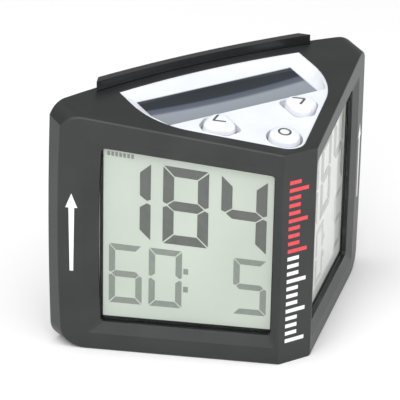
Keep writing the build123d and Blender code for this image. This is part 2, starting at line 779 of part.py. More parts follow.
key_screw_seats = [
    flipped(top_point(x, y, KEY_BOARD_DEPTH + KEY_BOARD_THICKNESS + SCREW_HEAD_HEIGHT))
    for x, y in KEY_BOARD_POINTS
]
save(joined(screw(seat, KEY_SCREW_LENGTH) for seat in key_screw_seats), "key_board_screws")

# ---- Displays: lens, glass, reflector, contact strips, holder, board ---------------------------
with BuildPart() as display_window:
    add(face_slab(LENS_DEPTH, WALL - LENS_DEPTH, (-FIT, -FIT, -FIT, -FIT)))
    add(face_slab(WALL, LENS_FLANGE, HOLDER_GROW))
both_sides(display_window.part, "display_window")

both_sides(face_slab(GLASS_DEPTH, GLASS_THICKNESS, GLASS_GROW, 0), "lcd_glass")

with BuildPart() as zebra_strips:
    add(face_slab(HOLDER_DEPTH, STACK_GAP, (-2.2, -3.0, 0.4, 0.3), 0))
    add(face_slab(HOLDER_DEPTH, STACK_GAP, (-1.0, -1.0, -1.4, -1.5), 0), mode=Mode.SUBTRACT)
both_sides(zebra_strips.part, "zebra_strips")
both_sides(
    face_slab(HOLDER_DEPTH, REFLECTOR_THICKNESS, (-1.5, -2.4, -1.6, -1.7), 0), "lcd_reflector"
)

holder_bore = tuple(value + FIT for value in GLASS_GROW)
with BuildPart() as lcd_holder:
    add(face_slab(GLASS_DEPTH, GLASS_THICKNESS + STACK_GAP, HOLDER_GROW))
    add(face_slab(GLASS_DEPTH, GLASS_THICKNESS, holder_bore, 0), mode=Mode.SUBTRACT)
    add(face_slab(HOLDER_DEPTH, STACK_GAP, (-1.4, -2.3, 0.5, 0.4), 0), mode=Mode.SUBTRACT)
both_sides(lcd_holder.part, "lcd_holder")

tab_u, tab_v = BOARD_TAB
with BuildPart() as display_board:
    add(face_slab(BOARD_DEPTH, DISPLAY_BOARD_THICKNESS, BOARD_GROW))
    add(post(face_point(tab_u, tab_v, BOARD_DEPTH), BOARD_TAB_RADIUS, DISPLAY_BOARD_THICKNESS))
    with BuildSketch(FACE.offset(-BOARD_DEPTH)):
        with Locations((tab_u, tab_v)):
            Rectangle(2 * BOARD_TAB_RADIUS, WINDOW_BOTTOM - tab_v, align=(Align.CENTER, Align.MIN))
    extrude(amount=-DISPLAY_BOARD_THICKNESS)
    for u, v in BOARD_SCREWS:
        hole = post(face_point(u, v, 0), SCREW_RADIUS + FIT, 2 * BOARD_DEPTH)
        add(hole, mode=Mode.SUBTRACT)
both_sides(display_board.part, "display_board")
both_sides(face_screws(), "display_screws")

# ---- Ribbon cables from the display boards to the main board ------------------------------------
board_back = Vector(NOSE_WIDTH / 2 - BOARD_BACK * sin(TURN), BOARD_BACK * cos(TURN))
ribbon_start = board_back + Vector(cos(TURN), sin(TURN)) * RIBBON_U
ribbon_turn = ribbon_start + Vector(-sin(TURN), cos(TURN)) * RIBBON_LEAD
with BuildPart() as ribbon_cable:
    with BuildSketch(BASE.offset(RIBBON_BOTTOM)):
        with BuildLine():
            Polyline(
                (ribbon_start.X, ribbon_start.Y),
                (ribbon_turn.X, ribbon_turn.Y),
                (ribbon_turn.X, MAIN_BOARD_Y),
            )
        trace(line_width=RIBBON_THICKNESS)
    extrude(amount=RIBBON_WIDTH)
both_sides(ribbon_cable.part, "ribbon_cable")

# ---- Main board and what is soldered to it ---------------------------------------------------------
board_front = Plane(origin=(0, NOSE_Y + MAIN_BOARD_Y, 0), x_dir=(1, 0, 0), z_dir=(0, -1, 0))
board_middle_z = (MAIN_BOARD_BOTTOM + MAIN_BOARD_TOP) / 2
with BuildPart() as main_board:
    with BuildSketch(board_front):
        with Locations((0, board_middle_z)):
            RectangleRounded(MAIN_BOARD_WIDTH, MAIN_BOARD_TOP - MAIN_BOARD_BOTTOM, 2.0)
        with Locations(MAIN_BOARD_POINTS):
            Circle(SCREW_RADIUS + FIT, mode=Mode.SUBTRACT)
    extrude(amount=-MAIN_BOARD_THICKNESS)
save(main_board.part, "main_board")


def on_board(x, z, lift=0.0):
    """Plane on the front of the main board, looking to the nose."""
    return Plane(origin=(x, NOSE_Y + MAIN_BOARD_Y - lift, z), x_dir=(1, 0, 0), z_dir=(0, -1, 0))


save(
    joined(
        screw(on_board(x, z, SCREW_HEAD_HEIGHT), MAIN_SCREW_LENGTH) for x, z in MAIN_BOARD_POINTS
    ),
    "main_board_screws",
)

with BuildPart() as microcontroller:
    with BuildSketch(on_board(*CHIP_PLACE)):
        Rectangle(CHIP_SIZE, CHIP_SIZE)
    extrude(amount=CHIP_HEIGHT)
save(microcontroller.part, "microcontroller")

with BuildPart() as compass_sensor:
    with BuildSketch(on_board(*SENSOR_PLACE)):
        Rectangle(*SENSOR_SIZE)
    extrude(amount=SENSOR_HEIGHT)
    with BuildSketch(on_board(*SENSOR_PLACE, SENSOR_HEIGHT)):
        with GridLocations(SENSOR_DIE_PITCH, 0, 2, 1):
            Rectangle(SENSOR_DIE, SENSOR_DIE)
    extrude(amount=SENSOR_DIE_HEIGHT)
save(compass_sensor.part, "compass_sensor")

up = (Align.CENTER, Align.CENTER, Align.MIN)
with BuildPart() as board_capacitors:
    with Locations(*(on_board(x, SENSOR_PLACE[1]) for x in CAPACITOR_X)):
        Cylinder(CAPACITOR_RADIUS, CAPACITOR_HEIGHT, align=up)
save(board_capacitors.part, "board_capacitors")

# ---- Battery: three cells, their tray, band and cap -------------------------------------------------
save(joined(cell(x) for x in (-CELL_PITCH, 0, CELL_PITCH)), "battery_cells")
with BuildPart() as battery_tray:
    extrude(battery_slot(TRAY_WALL, WALL), amount=TRAY_HEIGHT)
    with BuildSketch(BASE.offset(WALL + TRAY_FLOOR)):
        with Locations((-CELL_PITCH, CELL_Y), (0, CELL_Y), (CELL_PITCH, CELL_Y)):
            Circle(CELL_RADIUS + FIT)
    extrude(amount=TRAY_HEIGHT, mode=Mode.SUBTRACT)
save(battery_tray.part, "battery_tray")
with BuildPart() as battery_band:
    extrude(battery_slot(FIT + BAND_THICKNESS, BAND_Z), amount=BAND_WIDTH)
    extrude(battery_slot(FIT, BAND_Z), amount=BAND_WIDTH, mode=Mode.SUBTRACT)
save(battery_band.part, "battery_band")

# ---- Bracket: bowed plate in the cover's channel, with a flat pad for the mast ----------------------
mount_points = [
    (x, z)
    for x in (-MOUNT_SPACING_X / 2, MOUNT_SPACING_X / 2)
    for z in (MOUNT_MIDDLE_Z - MOUNT_SPACING_Z / 2, MOUNT_MIDDLE_Z + MOUNT_SPACING_Z / 2)
]
with BuildPart() as mast_bracket:
    extrude(bracket_section(0, 0), amount=CASE_TOP + BRACKET_RISE)
    extrude(bracket_section(0, BRACKET_SHOULDER), amount=BRACKET_STOP_HEIGHT)
    extrude(rear_circle(BRACKET_SET_IN - BRACKET_THICKNESS), amount=TALL, mode=Mode.INTERSECT)
    with BuildSketch(BASE.offset(PAD_BOTTOM)):
        with Locations((0, CASE_DEPTH + PAD_STAND)):
            Rectangle(PAD_WIDTH, 4 * PAD_STAND, align=(Align.CENTER, Align.MAX))
        with Locations((0, CASE_DEPTH - REAR_RADIUS)):
            Circle(REAR_RADIUS - BRACKET_SET_IN + BRACKET_THICKNESS / 2, mode=Mode.SUBTRACT)
    extrude(amount=PAD_TOP - PAD_BOTTOM)
    for x, z in mount_points:
        seat = Plane(origin=(x, NOSE_Y + rear_arc_y(BRACKET_SET_IN, x) - 0.1, z), z_dir=(0, -1, 0))
        add(post(seat, MOUNT_HOLE_RADIUS, 4 * PAD_STAND), mode=Mode.SUBTRACT)
        add(post(seat, MOUNT_HEAD_RADIUS, MOUNT_HEAD_DEPTH), mode=Mode.SUBTRACT)
save(mast_bracket.part, "mast_bracket")
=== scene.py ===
"""Looks of a dual-display digital sailing compass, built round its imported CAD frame.

Lengths in the tables below are millimetres in the words of the part: u runs outwards along a
display face from the nose, v runs up it, and depth runs into it. The scene itself is in metres.
"""
from math import cos, pi, radians, sin, tan

import bmesh
import bpy
import numpy as np
from bpy.props import FloatProperty, PointerProperty, StringProperty
from mathutils import Matrix, Vector


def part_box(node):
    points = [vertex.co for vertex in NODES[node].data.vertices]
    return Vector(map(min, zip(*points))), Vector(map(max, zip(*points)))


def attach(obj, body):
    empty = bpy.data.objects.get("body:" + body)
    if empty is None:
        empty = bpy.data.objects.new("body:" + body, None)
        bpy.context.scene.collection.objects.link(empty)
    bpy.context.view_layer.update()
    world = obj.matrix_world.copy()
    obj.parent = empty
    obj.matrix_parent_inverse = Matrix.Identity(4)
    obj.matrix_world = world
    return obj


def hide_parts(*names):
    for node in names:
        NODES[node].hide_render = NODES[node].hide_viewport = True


bl_info = {
    "name": "Dual-display sailing compass",
    "version": (1, 0, 0),
    "blender": (4, 5, 0),
    "location": "3D View > Sidebar > Compass",
    "description": "Finishes a wedge-shaped sailing compass round its CAD frame",
    "category": "Object",
}

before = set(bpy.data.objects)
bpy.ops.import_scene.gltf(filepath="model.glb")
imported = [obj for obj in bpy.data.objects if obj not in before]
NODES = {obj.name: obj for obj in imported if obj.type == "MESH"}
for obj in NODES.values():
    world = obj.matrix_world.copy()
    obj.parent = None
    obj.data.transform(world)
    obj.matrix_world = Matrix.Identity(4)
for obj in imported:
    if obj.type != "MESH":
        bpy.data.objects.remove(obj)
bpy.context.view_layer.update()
MM = 0.001

# The nose facet's foot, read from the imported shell.
NOSE_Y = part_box("front_shell")[0].y
NOSE_HALF_WIDTH = 6.55 * MM
FACE_TURN = radians(41.86)
TOP_TILT = radians(10.27)
NOSE_HEIGHT = 75.0 * MM
GLASS_DEPTH = 3.3 * MM
LENS_FRONT = 1.7 * MM
LENS_THICKNESS = 0.8 * MM
PRINT_LIFT = 0.03 * MM

# Solar tray on the sloping top: its front edge, its length and the bow of the painted reflection bands
# across its glass.
TRAY_FRONT = 29.6
TRAY_LENGTH = 20.2
BAND_BOW = -1.6

# Display opening: the readout is laid out inside it.
OPENING_INNER = 2.7
OPENING_OUTER = 59.5
OPENING_BOTTOM = 10.0
OPENING_TOP_INNER = 67.0
OPENING_TOP_OUTER = 72.3

# Readout rows: (characters with their middles from the left edge), width, low and high share of
# the opening's height, upright and level stroke widths.
UPPER_ROW = {"glyphs": (("1", 8.6), ("8", 27.6), ("4", 46.7)), "width": 15.0, "low": 0.487,
             "high": 0.945, "upright": 3.6, "level": 3.2}
LOWER_ROW = {"glyphs": (("6", 7.9), ("0", 21.2), ("5", 49.2)), "width": 11.0, "low": 0.103,
             "high": 0.45, "upright": 2.1, "level": 2.0}
COLON = ((28.0, 0.33), (28.0, 0.221))
SEGMENT_GAP = 0.3
SEGMENTS_OF = {
    "0": "abcdef", "1": "bc", "4": "bcfg", "5": "acdfg", "6": "acdefg", "8": "abcdefg",
}

# Nose scale: how far its bars reach across the nose, where it starts, and how many bars it has.
TICK_EDGE = -3.9
TICK_LONG = 3.6
TICK_SHORT = 0.6
TICK_BOTTOM = 7.4
WHITE_TICKS = 12
RED_TICKS = 10

# Up arrow: the lengths below its tip, then its half widths at the foot, the neck and the head.
ARROW_HEAD_LENGTH = 5.0
ARROW_LENGTH = 27.7
ARROW_HALF_WIDTHS = (0.6, 0.95, 2.0)

# A key's retaining flange stops short of the solar tray behind it.
FLANGE_REACH = 5.5
KEY_PLACES = {"go_key": (0.0, 9.3), "left_key": (-16.1, 23.2), "right_key": (16.1, 23.2)}

# Camera: a long lens, turned and tipped about the case.
CAMERA_AT = (-469.08, -679.55, 418.17)
CAMERA_AZIMUTH = -33.598
CAMERA_ELEVATION = 24.283
CAMERA_ROLL = 1.136
CAMERA_LENS = 245.31


# ---- Colour and node helpers --------------------------------------------------------------------

def linear(hex_colour):
    """An sRGB hex colour as linear red, green, blue and alpha."""
    digits = hex_colour.lstrip("#")
    srgb = np.array([int(digits[i:i + 2], 16) for i in (0, 2, 4)]) / 255
    low = srgb / 12.92
    high = ((srgb + 0.055) / 1.055) ** 2.4
    return (*np.where(srgb <= 0.04045, low, high).tolist(), 1.0)


def add_node(tree, kind, settings=None, inputs=None, links=None):
    """One shader node with its settings, its socket values and its incoming links."""
    node = tree.nodes.new(kind)
    for name, value in (settings or {}).items():
        setattr(node, name, value)
    for name, value in (inputs or {}).items():
        node.inputs[name].default_value = value
    for name, socket in (links or {}).items():
        tree.links.new(socket, node.inputs[name])
    return node


def new_material(name, colour, roughness, **sockets):
    """A material with one Principled shader, its tree and the shader node."""
    material = bpy.data.materials.new(name)
    material.use_nodes = True
    tree = material.node_tree
    tree.nodes.clear()
    values = {"Base Color": linear(colour), "Roughness": roughness}
    values.update(sockets)
    shader = add_node(tree, "ShaderNodeBsdfPrincipled", inputs=values)
    add_node(tree, "ShaderNodeOutputMaterial", links={"Surface": shader.outputs[0]})
    return material, tree, shader


def place(tree):
    """Object coordinates, in metres."""
    return add_node(tree, "ShaderNodeTexCoord").outputs["Object"]


def noise(tree, size_mm, detail=3.0, stretch=None):
    """Noise whose features are size_mm across, drawn out by stretch where given."""
    spot = place(tree)
    if stretch:
        mapping = add_node(tree, "ShaderNodeMapping", inputs={"Scale": stretch},
                           links={"Vector": spot})
        spot = mapping.outputs[0]
    return add_node(tree, "ShaderNodeTexNoise", inputs={"Scale": 1000.0 / size_mm, "Detail": detail},
                    links={"Vector": spot}).outputs["Fac"]


def ramp(tree, factor, stops):
    """Colour ramp over a factor: stops are (position, hex colour)."""
    node = add_node(tree, "ShaderNodeValToRGB", links={"Fac": factor})
    band = node.color_ramp
    while len(band.elements) < len(stops):
        band.elements.new(0.5)
    for element, (position, colour) in zip(band.elements, stops):
        element.position = position
        element.color = linear(colour)
    return node.outputs["Color"]


def spread(tree, factor, low, high):
    """A factor stretched from 0..1 to low..high."""
    node = add_node(tree, "ShaderNodeMapRange", inputs={"To Min": low, "To Max": high},
                    links={"Value": factor})
    return node.outputs["Result"]


def bump(tree, shader, height, depth_mm, strength=0.5):
    """Surface relief of depth_mm from a height."""
    node = add_node(tree, "ShaderNodeBump", inputs={"Strength": strength, "Distance": depth_mm * MM},
                    links={"Height": height})
    tree.links.new(node.outputs[0], shader.inputs["Normal"])


# ---- Materials ----------------------------------------------------------------------------------

# A polished cover over the readout: it hides the segments at a grazing view.
UNDER_GLASS = {"Coat Weight": 1.0, "Coat Roughness": 0.06, "Coat IOR": 1.7}


def moulded_abs(name, colour, shade, roughness, grain_mm, depth_mm):
    """ABS moulded against a spark-eroded tool: even colour, fine grain that breaks the gloss.
    The real grain is about 0.2 mm, and it is drawn as coarse as it needs to show."""
    material, tree, shader = new_material(name, colour, roughness)
    cloud = noise(tree, 14.0, 2.0)
    tree.links.new(ramp(tree, cloud, ((0.3, shade), (0.7, colour))), shader.inputs["Base Color"])
    grain = noise(tree, grain_mm, 2.0)
    tree.links.new(spread(tree, grain, roughness - 0.05, roughness + 0.07), shader.inputs["Roughness"])
    bump(tree, shader, grain, depth_mm)
    return material


def glossy_nylon():
    """Nylon moulded against a polished tool: deep black with slight flow waves."""
    material, tree, shader = new_material("glossy_nylon", "#0b0c0d", 0.2)
    flow = noise(tree, 6.0, 3.0, (0.3, 1.0, 1.0))
    tree.links.new(spread(tree, flow, 0.14, 0.3), shader.inputs["Roughness"])
    tree.links.new(ramp(tree, flow, ((0.3, "#070808"), (0.7, "#121314"))), shader.inputs["Base Color"])
    bump(tree, shader, noise(tree, 1.2), 0.02)
    return material


def clear_acrylic():
    """Polished acrylic: almost nothing but its reflection shows."""
    material, tree, shader = new_material("clear_acrylic", "#0c0d0c", 0.04, Alpha=0.05, IOR=1.49)
    haze = noise(tree, 9.0)
    tree.links.new(spread(tree, haze, 0.03, 0.08), shader.inputs["Roughness"])
    return material


def lcd_polariser(name, colour, shade):
    """Reflective liquid-crystal cell: pale grey-green film behind polished glass."""
    material, tree, shader = new_material(name, colour, 0.35, **UNDER_GLASS)
    cloud = noise(tree, 30.0, 1.0)
    tree.links.new(ramp(tree, cloud, ((0.3, shade), (0.7, colour))), shader.inputs["Base Color"])
    return material


def ink(name, colour, fade, **sockets):
    """Printed or switched ink: matt, with slight mottling from its screen."""
    material, tree, shader = new_material(name, colour, 0.45, **sockets)
    mottle = noise(tree, 1.5, 3.0)
    tree.links.new(ramp(tree, mottle, ((0.25, fade), (0.6, colour))), shader.inputs["Base Color"])
    bump(tree, shader, mottle, 0.01, 0.3)
    return material


def solar_glass():
    """Dark glass over the cell, painted in bands across the tray: a bright painted reflection at the
    front and a dark painted reflection of the shaded back wall at the back.
    """
    material, tree, shader = new_material("solar_glass", "#868d95", 0.12, IOR=1.5)
    parts = add_node(tree, "ShaderNodeSeparateXYZ", links={"Vector": place(tree)})
    bow = add_node(tree, "ShaderNodeMath", {"operation": "MULTIPLY"},
                   links={0: parts.outputs["X"], 1: parts.outputs["X"]})
    bent = add_node(tree, "ShaderNodeMath", {"operation": "MULTIPLY_ADD"},
                    inputs={1: BAND_BOW}, links={0: bow.outputs[0], 2: parts.outputs["Y"]})
    front = NOSE_Y + TRAY_FRONT * MM
    across = add_node(tree, "ShaderNodeMapRange",
                      inputs={"From Min": front, "From Max": front + TRAY_LENGTH * MM},
                      links={"Value": bent.outputs[0]})
    # Painted reflection: light grey at the front of the tray, going dark towards the back.
    stops = ((0.0, "#868d95"), (0.50, "#8d949c"), (0.56, "#565e6b"), (0.66, "#4b5361"),
             (0.70, "#18222c"), (1.0, "#0d1319"))
    tree.links.new(ramp(tree, across.outputs[0], stops), shader.inputs["Base Color"])
    tree.links.new(spread(tree, noise(tree, 5.0), 0.08, 0.18), shader.inputs["Roughness"])
    return material


def striped(name, colour, line, pitch_mm, share, direction, roughness, **sockets):
    """A surface crossed by even lines: pitch_mm apart along direction, share of it line."""
    material, tree, shader = new_material(name, colour, roughness, **sockets)
    wave = add_node(tree, "ShaderNodeTexWave", {"bands_direction": direction, "wave_profile": "SAW"},
                    inputs={"Scale": 2 * pi / (20.0 * pitch_mm * MM)}, links={"Vector": place(tree)})
    edge = 1 - share
    stops = ((0.0, colour), (edge - 0.04, colour), (edge, line), (1.0, line))
    tree.links.new(ramp(tree, wave.outputs["Fac"], stops), shader.inputs["Base Color"])
    bump(tree, shader, wave.outputs["Fac"], 0.02, 0.3)
    return material


def rubber(name, colour, shade):
    """Moulded silicone: soft, dusty and slightly mottled."""
    material, tree, shader = new_material(name, colour, 0.65)
    dust = noise(tree, 2.0, 4.0)
    tree.links.new(ramp(tree, dust, ((0.3, shade), (0.7, colour))), shader.inputs["Base Color"])
    bump(tree, shader, dust, 0.02)
    return material


def turned_metal(name, colour, roughness):
    """Turned metal: fine tool lines that catch the light."""
    material, tree, shader = new_material(name, colour, roughness, Metallic=1.0)
    lines = noise(tree, 0.4, 2.0, (1.0, 6.0, 1.0))
    tree.links.new(spread(tree, lines, roughness - 0.08, roughness + 0.1), shader.inputs["Roughness"])
    bump(tree, shader, lines, 0.01, 0.3)
    return material


def floor_paper():
    """Pale studio paper."""
    material, tree, shader = new_material("studio_paper", "#fafafa", 0.8)
    bump(tree, shader, noise(tree, 3.0), 0.02, 0.1)
    return material


MATERIALS = {}


def make_materials(looks):
    """Every finish of the compass, by its plain name."""
    housing = looks.housing_colour
    MATERIALS.update(
        housing=moulded_abs("moulded_black_abs", housing, "#1d2020", 0.38, 0.5, 0.012),
        panel=moulded_abs("moulded_pale_abs", looks.panel_colour, "#dde0e6", 0.32, 0.6, 0.006),
        key=moulded_abs("key_cap_abs", looks.key_colour, "#dfe2e8", 0.28, 0.6, 0.004),
        nylon=glossy_nylon(),
        acrylic=clear_acrylic(),
        lcd=lcd_polariser("lcd_polariser", "#cbd5c9", "#c2ccc0"),
        # The right-hand readout's film and two inks are lighter copies of the left-hand ones: painted
        # reflection of the white floor in its glass.
        pale_lcd=lcd_polariser("washed_out_polariser", "#f2f4ef", "#eaede7"),
        dark_ink=ink("switched_segments", "#4c514b", "#555a53", **UNDER_GLASS),
        pale_ink=ink("fading_segments", "#7b857b", "#858e85", **UNDER_GLASS),
        washed_ink=ink("washed_out_segments", "#a2aaa1", "#abb2aa", **UNDER_GLASS),
        faint_ink=ink("faint_segments", "#bcc3bb", "#c4cac2", **UNDER_GLASS),
        # Near-black frame strips round the readout: the cell's dark edge and painted shade from the
        # recess round it.
        mask=ink("display_mask", "#111312", "#181a19"),
        white_ink=ink("white_print", "#f4f4f2", "#e8e8e6"),
        red_ink=ink("red_print", "#e0454d", "#d83f47"),
        grey_ink=ink("key_print", "#4b5050", "#555a5a"),
        solar=solar_glass(),
        silicon=striped("silicon_cell", "#0a1020", "#8a8f99", 8.0, 0.05, "X", 0.25),
        seal=rubber("black_silicone", "#121313", "#1b1c1c"),
        silicone=rubber("grey_silicone", "#8d8f92", "#9a9c9f"),
        laminate=striped("solder_masked_laminate", "#0f5a2c", "#1d7a41", 1.6, 0.3, "DIAGONAL", 0.35),
        epoxy=rubber("black_epoxy", "#17181a", "#202225"),
        holder=moulded_abs("moulded_white_holder", "#d9d9d4", "#cfcfca", 0.4, 0.6, 0.01),
        steel=turned_metal("stainless_steel", "#b4b6b8", 0.3),
        can=turned_metal("drawn_aluminium", "#c9cbcd", 0.25),
        sleeve=striped("cell_sleeve", "#1c6b45", "#d8dad6", 14.0, 0.2, "Z", 0.3),
        ribbon=striped("ribbon_cable", "#9b9da0", "#6f7174", 1.27, 0.35, "Z", 0.5),
        paper=floor_paper(),
    )


NODE_FINISH = {
    "front_shell": "housing", "rear_cover": "housing", "battery_tray": "housing",
    "top_panel": "panel", "mast_bracket": "nylon", "solar_window": "solar",
    "solar_cell": "silicon", "rear_gasket": "seal", "top_panel_gasket": "seal",
    "battery_band": "seal", "cover_screws": "steel", "key_board_screws": "steel",
    "main_board_screws": "steel", "key_board": "laminate", "main_board": "laminate",
    "key_switches": "epoxy", "microcontroller": "epoxy", "compass_sensor": "epoxy",
    "board_capacitors": "can", "battery_cells": "sleeve", "left_dome": "silicone",
    "right_dome": "silicone", "go_dome": "silicone", "left_key": "key", "right_key": "key",
    "go_key": "key",
}
SIDE_FINISH = {
    "display_window": "acrylic", "lcd_glass": "lcd", "lcd_reflector": "can",
    "lcd_holder": "holder", "zebra_strips": "seal", "display_board": "laminate",
    "display_screws": "steel", "ribbon_cable": "ribbon",
}


# ---- Places and meshes --------------------------------------------------------------------------

def on_face(side, u, v, depth):
    """Points on a display face: side is 1 on the right and -1 on the left. The nose edge plus
    u along the face, v up and depth against the outward normal."""
    u, v, depth = np.broadcast_arrays(np.asarray(u, float), v, depth)
    x = side * (NOSE_HALF_WIDTH + u * MM * cos(FACE_TURN) - depth * sin(FACE_TURN))
    y = NOSE_Y + u * MM * sin(FACE_TURN) + depth * cos(FACE_TURN)
    return np.stack([x, y, v * MM], -1)


def on_top(x, y, height):
    """Points over the sloping top: plan place x, y behind the nose, height along its normal."""
    x, y, height = np.broadcast_arrays(np.asarray(x, float), y, height)
    depth_y = NOSE_Y + y * MM - height * MM * sin(TOP_TILT)
    depth_z = NOSE_HEIGHT + y * MM * tan(TOP_TILT) + height * MM * cos(TOP_TILT)
    return np.stack([x * MM, depth_y, depth_z], -1)


def make_piece(name, vertices, faces, finish, body, smooth=True):
    """A mesh object at the origin that rides on a body."""
    mesh = bpy.data.meshes.new(name)
    mesh.from_pydata(np.asarray(vertices).tolist(), [], faces)
    mesh.validate()
    mesh.polygons.foreach_set("use_smooth", [smooth] * len(mesh.polygons))
    mesh.materials.append(MATERIALS[finish])
    mesh.update()
    piece = bpy.data.objects.new(name, mesh)
    bpy.context.scene.collection.objects.link(piece)
    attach(piece, body)
    return piece


def grid_faces(rows, columns, start=0, wrap=False):
    """Quads of a grid of points, row by row; wrap joins the last column to the first."""
    row, column = np.meshgrid(np.arange(rows - 1), np.arange(columns if wrap else columns - 1),
                              indexing="ij")
    after = (column + 1) % columns
    quads = np.stack([row * columns + column, row * columns + after,
                      (row + 1) * columns + after, (row + 1) * columns + column], -1)
    return (quads.reshape(-1, 4) + start).tolist()


def plates(outlines, low, high):
    """Thin closed plates. Each outline is an array of 2-D points; low and high turn 2-D points
    into the back and the front of the plate. Faces are the two ends and a wall between them."""
    vertices, faces, start = [], [], 0
    for outline in outlines:
        outline = np.asarray(outline, float)
        count = len(outline)
        vertices += [low(outline), high(outline)]
        ring = start + np.arange(count)
        faces.append(ring[::-1].tolist())
        faces.append((ring + count).tolist())
        after = np.roll(ring, -1)
        faces += np.stack([ring, after, after + count, ring + count], -1).tolist()
        start += 2 * count
    return np.concatenate(vertices), faces


def face_plates(name, outlines, side, depth, thickness, finish, body="case"):
    """Plates printed on a plane behind a display face; outlines hold (u, v)."""
    def back(points):
        return on_face(side, points[:, 0], points[:, 1], depth + thickness)

    def front(points):
        return on_face(side, points[:, 0], points[:, 1], depth)

    vertices, faces = plates(outlines, back, front)
    piece = make_piece(name, vertices, faces, finish, body, smooth=False)
    turn_outwards(piece)
    return piece


def turn_outwards(piece):
    """Recalculates the normals of a closed mesh so that its faces point outwards."""
    work = bmesh.new()
    work.from_mesh(piece.data)
    bmesh.ops.remove_doubles(work, verts=work.verts, dist=1e-7)
    bmesh.ops.recalc_face_normals(work, faces=work.faces)
    work.to_mesh(piece.data)
    work.free()


# ---- Readout ------------------------------------------------------------------------------------

def readout_place(side, x, share):
    """(u, v) of a place in the readout: x from its left edge as read, share of its height. The
    left edge is the outer one on the left face and the nose one on the right face."""
    u = OPENING_OUTER - x if side < 0 else OPENING_INNER + x
    rise = (OPENING_TOP_OUTER - OPENING_TOP_INNER) / (OPENING_OUTER - OPENING_INNER)
    top = OPENING_TOP_INNER + rise * (u - OPENING_INNER)
    return np.stack([u, OPENING_BOTTOM + share * (top - OPENING_BOTTOM)], -1)


def segment_outlines(width, upright, level, gap):
    """Outlines of the seven segments in a box width by 1, with mitred ends. The level
    strokes' height is given as a share of the box."""
    w, a, b, g = width, upright, level, gap
    h = g / 20
    half = 0.5
    return {
        "a": [(g, 1), (w - g, 1), (w - a - g / 2, 1 - b), (a + g / 2, 1 - b)],
        "d": [(a + g / 2, b), (w - a - g / 2, b), (w - g, 0), (g, 0)],
        "g": [(a * 0.35 + g, half), (a, half + b / 2), (w - a, half + b / 2),
              (w - a * 0.35 - g, half), (w - a, half - b / 2), (a, half - b / 2)],
        "f": [(0, 1 - h), (a, 1 - b - h), (a, half + b / 2 + h), (a * 0.35, half + h),
              (0, half + h + 0.02)],
        "e": [(0, half - h - 0.02), (a * 0.35, half - h), (a, half - b / 2 - h), (a, b + h), (0, h)],
        "b": [(w, 1 - h), (w, half + h + 0.02), (w - a * 0.35, half + h),
              (w - a, half + b / 2 + h), (w - a, 1 - b - h)],
        "c": [(w, half - h - 0.02), (w, h), (w - a, b + h), (w - a, half - b / 2 - h),
              (w - a * 0.35, half - h)],
    }


def row_outlines(side, row):
    """Outlines on a display face of one row of digits."""
    height_mm = (row["high"] - row["low"]) * (OPENING_TOP_INNER - OPENING_BOTTOM)
    segments = segment_outlines(row["width"], row["upright"], row["level"] / height_mm, SEGMENT_GAP)
    outlines = []
    for glyph, middle in row["glyphs"]:
        for letter in SEGMENTS_OF[glyph]:
            points = np.array(segments[letter], float)
            x = middle - row["width"] / 2 + points[:, 0]
            share = row["low"] + points[:, 1] * (row["high"] - row["low"])
            outlines.append(readout_place(side, x, share))
    return outlines


def box_outline(side, x, share, half_width, half_share):
    """Outline of a small block of the readout."""
    corners = np.array([(-1, -1), (1, -1), (1, 1), (-1, 1)], float)
    return readout_place(side, x + corners[:, 0] * half_width, share + corners[:, 1] * half_share)


def window_outline(side):
    """The edge of the display opening, let in a little behind the housing's wall."""
    wide = OPENING_OUTER - OPENING_INNER
    x = np.array([-0.5, wide + 0.5, wide + 0.5, -0.5])
    return readout_place(side, x, np.array([-0.008, -0.008, 1.008, 1.008]))


def mask_outlines(side):
    """Four dark strips that frame the readout, the cell's dark edge and painted shade from the recess
    round it, as shares of its height and places across it.
    """
    wide = OPENING_OUTER - OPENING_INNER
    strips = ((-0.6, 0.5, -0.01, 1.01), (wide - 0.5, wide + 1.2, -0.01, 1.01),
              (-0.6, wide + 1.2, -0.01, 0.022), (-0.6, wide + 1.2, 0.99, 1.01))
    outlines = []
    for left, right, low, high in strips:
        x = np.array([left, right, right, left], float)
        outlines.append(readout_place(side, x, np.array([low, low, high, high])))
    return outlines


class COMPASS_OT_readouts(bpy.types.Operator):
    """Makes the lens, film, segments and dark border strips of both displays; the border strips are the
    cell's dark edge and painted shade from the recess round it. The right-hand readout is painted
    paler, a painted reflection of the white floor in its glass"""

    bl_idname = "compass.readouts"
    bl_label = "Make readouts"

    def execute(self, context):
        # Left face, then right face; the right face's film and inks are painted paler, a painted
        # reflection of the white floor.
        sides = ((-1, "left", "lcd", "dark_ink", "pale_ink"),
                 (1, "right", "pale_lcd", "washed_ink", "faint_ink"))
        for side, word, ground, main_ink, small_ink in sides:
            film = [window_outline(side)]
            lens = face_plates(f"{word}_lens", film, side, LENS_FRONT, LENS_THICKNESS, "acrylic")
            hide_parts(f"{word}_display_window")
            depth = GLASS_DEPTH - PRINT_LIFT
            face_plates(f"{word}_polariser", film, side, depth, PRINT_LIFT, ground)
            thick = 2 * PRINT_LIFT
            depth -= thick
            face_plates(f"{word}_bearing_digits", row_outlines(side, UPPER_ROW), side, depth, thick,
                        main_ink)
            lower = row_outlines(side, LOWER_ROW)
            lower += [box_outline(side, x, share, 0.8, 0.017) for x, share in COLON]
            face_plates(f"{word}_timer_digits", lower, side, depth, thick, small_ink)
            marks = [box_outline(side, 2.2 + 1.3 * i, 0.965, 0.45, 0.012) for i in range(7)]
            face_plates(f"{word}_mode_marks", marks, side, depth, thick, small_ink)
            # Dark frame strips: the cell's dark edge and painted shade from the recess wall.
            face_plates(f"{word}_display_mask", mask_outlines(side), side, depth - PRINT_LIFT, thick,
                        "mask")
        return {"FINISHED"}


# ---- Printed marks on the housing ---------------------------------------------------------------

